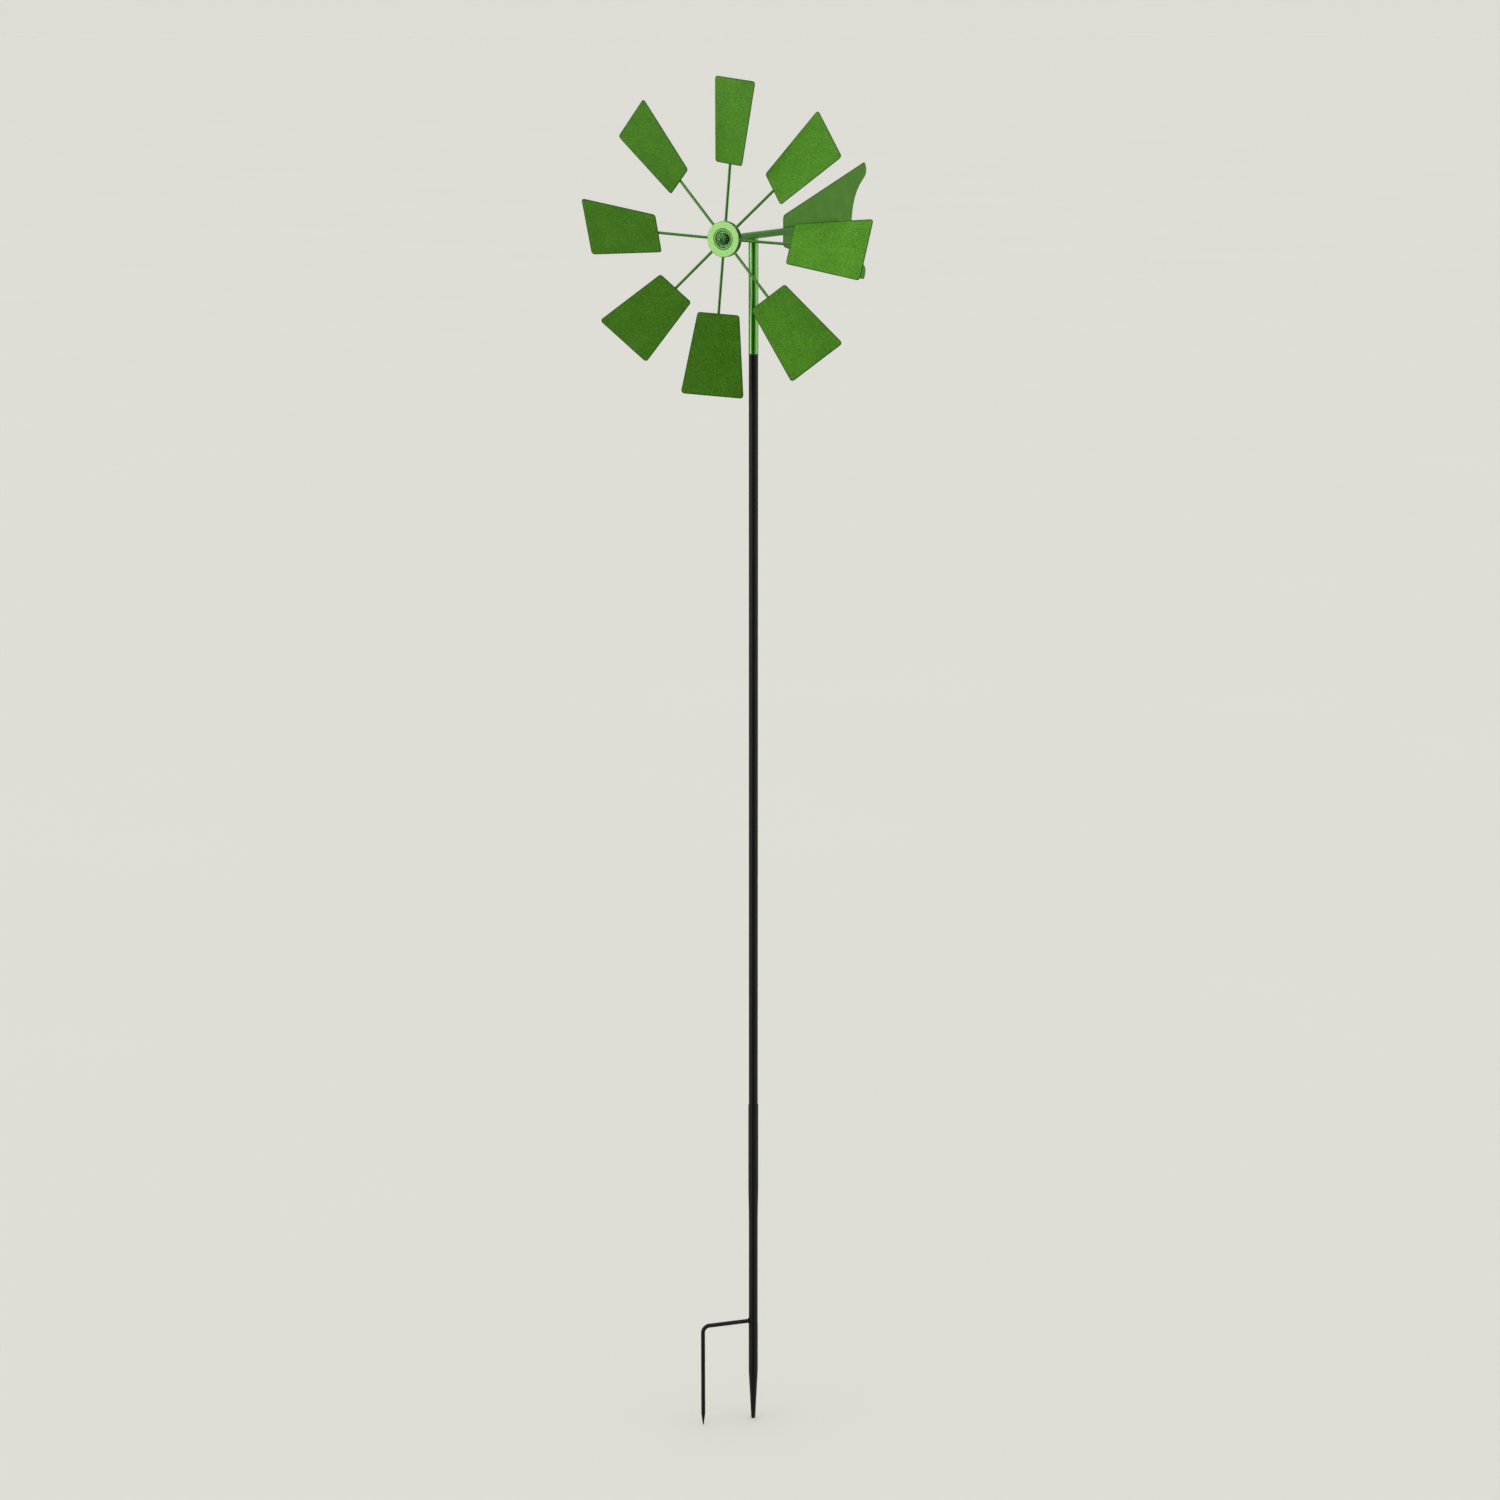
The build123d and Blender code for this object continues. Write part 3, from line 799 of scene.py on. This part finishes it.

# Dark green on the hub's rim and bore: a deep, even green, nearly black, that is painted shade
# on the disc's side wall and in its bore.
rim_painted_shade = green_lacquer("dark_green_lacquer_run_into_the_rim", "#103807", "#1c4c10", 0.95, 0.3,
                            0.0, flake_width, flake_depth)

hub_low, hub_high = millimetres("wheel_hub")
hub_radius = (hub_high.x - hub_low.x) / 2
hub_bore = bearing_high.x + 0.02
hub = turned("wheel_hub_turned", eased([
    (hub_bore, hub_low.y, 0.7),
    (hub_radius, hub_low.y, 0.8),
    (hub_radius, hub_high.y, 0.8),
    (hub_bore, hub_high.y, 0.7)]), along_boom, 128)
hub.data.materials.append(hub_lacquer)
hub.data.materials.append(rim_painted_shade)
# Painted shade: the faces that look sideways, the rim and the bore, take the dark green.
for face in hub.data.polygons:
    if abs(face.normal.y) < 0.5:
        face.material_index = 1
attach(hub, "wheel")
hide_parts("wheel_hub")

# ---------------------------------------------------------------------------------------------
# Spokes: eight lengths of round steel rod, welded into the hub's rim and lacquered with it. The
# outer ends are rounded off and lie flat behind the blades.
# ---------------------------------------------------------------------------------------------

# Green metallic lacquer on rod: glossy and streaked, and darker than on the tubes as painted shade.
shade_darkened_rod_lacquer = green_lacquer("green_metallic_lacquer_on_rod", "#2c6212", "#478326", 0.9, 0.15, 0.3,
                            flake_width, flake_depth)

# Each spoke's angle from the vertical, clockwise: equal steps from the first one's lean, and the
# small errors of welding by hand.
wheel_lean = 3.6
spoke_errors = (1.4, -0.4, -1.3, 0.2, 1.6, -0.9, -0.4, -0.1)
spoke_count = len(spoke_errors)
spoke_turns = [math.radians(wheel_lean + 360 * i / spoke_count + error)
               for i, error in enumerate(spoke_errors)]
spoke_radius = 1.75
spoke_root = hub_radius - 6.0
spoke_end = 137.5
one_spoke = turned("one_spoke", eased([
    (0, spoke_root, 0),
    (spoke_radius, spoke_root, 0.3),
    (spoke_radius, spoke_end, 0.9),
    (0, spoke_end, 0)]), segments=32)
spokes = ring_of("wheel_spokes", one_spoke, spoke_turns, 2, shade_darkened_rod_lacquer)
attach(spokes, "wheel")
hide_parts(*(f"spoke_{i + 1}" for i in range(spoke_count)))

to_spoke = Matrix.Rotation(math.radians(-90), 4, "Y")
one_root = runs("one_root", [saddle_line(spoke_radius + 0.2, hub_radius, 0.0)], to_spoke)
grown(one_root, weld, bead_size=0.7 * MM, spacing=0.55 * MM, flatness=0.75, seed=13,
      finish=hub_lacquer)
root_weld = ring_of("spoke_root_welds", one_root, spoke_turns, 13, hub_lacquer)
root_weld.data.shade_smooth()
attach(root_weld, "wheel")

# ---------------------------------------------------------------------------------------------
# Blades: eight flat trapezoids of 1 mm steel sheet with rounded corners. Each lies on the front
# of its spoke, turned about it by the pitch, and is held by short welds along the spoke's sides.
# ---------------------------------------------------------------------------------------------

blade_inner = 92.5            # from the wheel's axis to the blade's inner edge
blade_outer = 196.5
blade_inner_half = 26.25
blade_outer_half = 39.75
blade_corner = 4.0
blade_thickness = 1.0
blade_seat = spoke_radius + 0.02
pitch = Matrix.Rotation(math.radians(-24), 4, "Z")

blade_outline = [(-blade_inner_half, blade_inner, blade_corner),
                 (blade_inner_half, blade_inner, blade_corner),
                 (blade_outer_half, blade_outer, blade_corner),
                 (-blade_outer_half, blade_outer, blade_corner)]
on_spoke = (pitch @ Matrix.Translation((0, -blade_seat - blade_thickness / 2, 0))
            @ Matrix.Rotation(math.radians(90), 4, "X"))
one_blade = plate("one_blade", blade_outline, blade_thickness, on_spoke)
blades = ring_of("wheel_blades", one_blade, spoke_turns, 4, sheet_lacquer)
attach(blades, "wheel")
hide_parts(*(f"blade_{i + 1}" for i in range(spoke_count)))

tack_starts = (95.0, 110.0, 126.0)
tack_length = 8.0
tack_side = 1.55
tack_back = 0.45              # behind the blade's back face
tack_depth = tack_back - blade_seat
tacks = [[(side, tack_depth, start), (side, tack_depth, start + tack_length)]
         for start in tack_starts for side in (tack_side, -tack_side)]
one_tack = runs("one_tack", tacks, pitch)
grown(one_tack, weld, bead_size=0.65 * MM, spacing=0.55 * MM, flatness=0.75, seed=21,
      finish=tube_lacquer)
tack_weld = ring_of("blade_tack_welds", one_tack, spoke_turns, 21, tube_lacquer)
tack_weld.data.shade_smooth()
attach(tack_weld, "wheel")

# ---------------------------------------------------------------------------------------------
# Washer and cap nut: they clamp the bearing's inner ring against the collar. The washer is pressed
# from steel sheet, the low nut is forged with a closed dome, and both are lacquered dark green.
# ---------------------------------------------------------------------------------------------

# Dark green lacquer on a forged nut: thick, glossy and nearly black in the shade, with one hard
# highlight on the dome; the faint waves are the forging's skin, 3 mm across.
skin_width = 3 * MM
tree, spot, close = new_finish("dark_green_lacquer_on_forged_nut")
skin = add(tree, "ShaderNodeTexNoise", {"Vector": spot, "Scale": 1 / skin_width, "Detail": 2.0})
tint = add(tree, "ShaderNodeMixRGB", {"Fac": skin.outputs["Fac"], "Color1": linear("#226016"),
                                      "Color2": linear("#3d8a2b")})
dull = add(tree, "ShaderNodeMapRange", {"Value": skin.outputs["Fac"], "To Min": 0.11,
                                        "To Max": 0.2})
bump = add(tree, "ShaderNodeBump", {"Height": skin.outputs["Fac"], "Strength": 0.2,
                                    "Distance": 0.03 * MM})
nut_lacquer = close(Base_Color=tint.outputs["Color"], Metallic=0.85,
                    Roughness=dull.outputs["Result"], Normal=bump.outputs["Normal"],
                    Coat_Weight=1.0, Coat_Roughness=0.05)

washer_low, washer_high = millimetres("axle_washer")
washer = turned("axle_washer_flat", eased([
    (thread_radius, washer_low.y, 0.15),
    (washer_high.x, washer_low.y, 0.35),
    (washer_high.x, washer_high.y, 0.2),
    (thread_radius, washer_high.y, 0.15)], rim=0.1), along_boom)
washer.data.materials.append(nut_lacquer)
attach(washer, "head")
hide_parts("axle_washer")

nut_low, nut_high = millimetres("acorn_nut")
nut_flat = 6.5                # from the axis to each flat
nut_hexagon = 3.0             # height of the hexagon
nut_chamfer = 6.3             # radius where the chamfer meets the hexagon's top
nut_foot = 6.9                # the same on its underside
nut_dome = 5.5
nut_height = nut_high.y - nut_low.y
nut_sides = 144
edge_softness = 0.12


def soft_least(first, second):
    """Smaller of two lengths, with the corner between them rounded."""
    blend = max(edge_softness - abs(first - second), 0) / edge_softness
    return min(first, second) - blend ** 2 * edge_softness / 4


def nut_radius(turn, height):
    """Radius of the hexagon, cut by the chamfers on its top and its underside."""
    past_corner = (turn + math.pi / 6) % (math.pi / 3) - math.pi / 6
    flat_radius = nut_flat / math.cos(math.pi / 6 - abs(past_corner))
    top = nut_chamfer + (nut_hexagon - height) * math.sqrt(3)
    under = nut_foot + height * math.sqrt(3)
    return soft_least(soft_least(flat_radius, top), under)


hex_rows = [nut_hexagon * i / 20 for i in range(21)]
dome_start = nut_height - nut_dome
dome_turns = [math.pi / 2 * i / 16 for i in range(17)]
shape = bmesh.new()
rows = []
for i in range(nut_sides):
    turn = math.tau * i / nut_sides
    column = [(0, 0)]
    column += [(nut_radius(turn, height), height) for height in hex_rows]
    column += [(nut_dome, nut_hexagon + 0.02)]
    column += [(nut_dome * math.cos(rise), dome_start + nut_dome * math.sin(rise))
               for rise in dome_turns[:-1]]
    column += [(0, nut_height)]
    rows.append([shape.verts.new((radius * math.cos(turn), radius * math.sin(turn), height))
                 for radius, height in column])
for i, row in enumerate(rows):
    after = rows[(i + 1) % nut_sides]
    for j in range(len(row) - 1):
        corners = [row[j], row[j + 1], after[j + 1], after[j]]
        if j == 0:
            corners.remove(after[j])
        if j == len(row) - 2:
            corners.remove(after[j + 1])
        shape.faces.new(corners)
on_axle = (Matrix.Translation((0, nut_high.y, axle_height))
           @ Matrix.Rotation(math.radians(90), 4, "X"))
nut = finished("cap_nut_forged", shape, on_axle)
nut.data.materials.append(nut_lacquer)
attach(nut, "head")
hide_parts("acorn_nut")

# ---------------------------------------------------------------------------------------------
# Studio: the windmill stands on its points on a wide pale floor. The light comes from a soft
# overhead panel, a wide round panel with a brighter core on each side, and one small lamp on the
# left, with a dim gap in front between them.
# ---------------------------------------------------------------------------------------------

floor_level = cad_box[0].z
floor_radius = 400.0
shape = bmesh.new()
bmesh.ops.create_circle(shape, cap_ends=True, radius=floor_radius, segments=96)
bmesh.ops.translate(shape, verts=shape.verts, vec=(0, 0, floor_level))
mesh = bpy.data.meshes.new("studio_floor")
shape.to_mesh(mesh)
shape.free()
studio_floor = bpy.data.objects.new("studio_floor", mesh)
bpy.context.scene.collection.objects.link(studio_floor)
studio_floor.visible_glossy = False
tree, spot, close = new_finish("matt_studio_floor")
blotch = add(tree, "ShaderNodeTexNoise", {"Vector": spot, "Scale": 0.8, "Detail": 2.0})
tint = add(tree, "ShaderNodeMixRGB", {"Fac": blotch.outputs["Fac"], "Color1": linear("#e9e8e0"),
                                      "Color2": linear("#ecebe3")})
studio_floor.data.materials.append(close(Base_Color=tint.outputs["Color"], Roughness=0.9))
studio_floor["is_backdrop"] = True

front = Vector((0.4577, -0.8891, 0.0))      # from the mast towards the camera, level
right = Vector((0.8891, 0.4577, 0.0))


def direction(turn, rise):
    """Direction at an angle to the right of the front and a height above the level."""
    turn, rise = math.radians(turn), math.radians(rise)
    level = front * math.cos(turn) + right * math.sin(turn)
    return level * math.cos(rise) + Vector((0, 0, math.sin(rise)))


ambient = 0.42
panels = (                    # middle, radius of the bright part, soft border, radiance
    (direction(-66, 8), 28, 10, 0.6),
    (direction(-46, 3), 3, 2, 9.0),
    (direction(-70, 0), 8, 8, 2.0),
    (direction(70, 0), 30, 14, 0.5),
    (direction(90, 0), 12, 9, 1.0),
    (direction(0, 90), 35, 35, 0.6))
gap = (direction(0, -10), 18, 9, -0.4)      # almost no light where the camera stands
world = bpy.data.worlds.new("soft_studio")
bpy.context.scene.world = world
world.use_nodes = True
tree = world.node_tree
tree.nodes.clear()
towards = add(tree, "ShaderNodeTexCoord").outputs["Generated"]
total = None
for middle, reach, border, radiance in (*panels, gap):
    aim = add(tree, "ShaderNodeVectorMath", {0: towards, 1: middle}, operation="DOT_PRODUCT")
    glow = add(tree, "ShaderNodeMapRange", {
        "Value": aim.outputs["Value"], "From Min": math.cos(math.radians(reach + border)),
        "From Max": math.cos(math.radians(reach)), "To Max": radiance},
        interpolation_type="SMOOTHSTEP")
    total = add(tree, "ShaderNodeMath", {0: glow.outputs["Result"],
                                         1: total.outputs["Value"] if total else ambient})
light = add(tree, "ShaderNodeBackground", {"Color": (1.0, 1.0, 1.0, 1.0),
                                           "Strength": total.outputs["Value"]})
plain = add(tree, "ShaderNodeBackground", {"Color": linear("#dddcd5"), "Strength": 1.0})
seen = add(tree, "ShaderNodeLightPath")
choice = add(tree, "ShaderNodeMixShader", {0: seen.outputs["Is Camera Ray"],
                                           1: light.outputs["Background"],
                                           2: plain.outputs["Background"]})
add(tree, "ShaderNodeOutputWorld", {"Surface": choice.outputs["Shader"]})
bpy.context.scene.view_settings.view_transform = "Standard"

camera_data = bpy.data.cameras.new("studio_camera")
camera_data.sensor_width = 36.0
camera_data.lens = 78.648
camera_data.clip_end = 1000.0
camera = bpy.data.objects.new("studio_camera", camera_data)
camera.location = (1.9106, -3.7209, 1.7359)
camera.rotation_mode = "QUATERNION"
camera.rotation_quaternion = Vector((-0.44667, 0.86763, -0.21842)).to_track_quat("-Z", "Y")
bpy.context.scene.collection.objects.link(camera)
bpy.context.scene.camera = camera

boxes = {"cad": cad_box, "visual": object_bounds()}
{key: [list(low), list(high)] for key, (low, high) in boxes.items()}
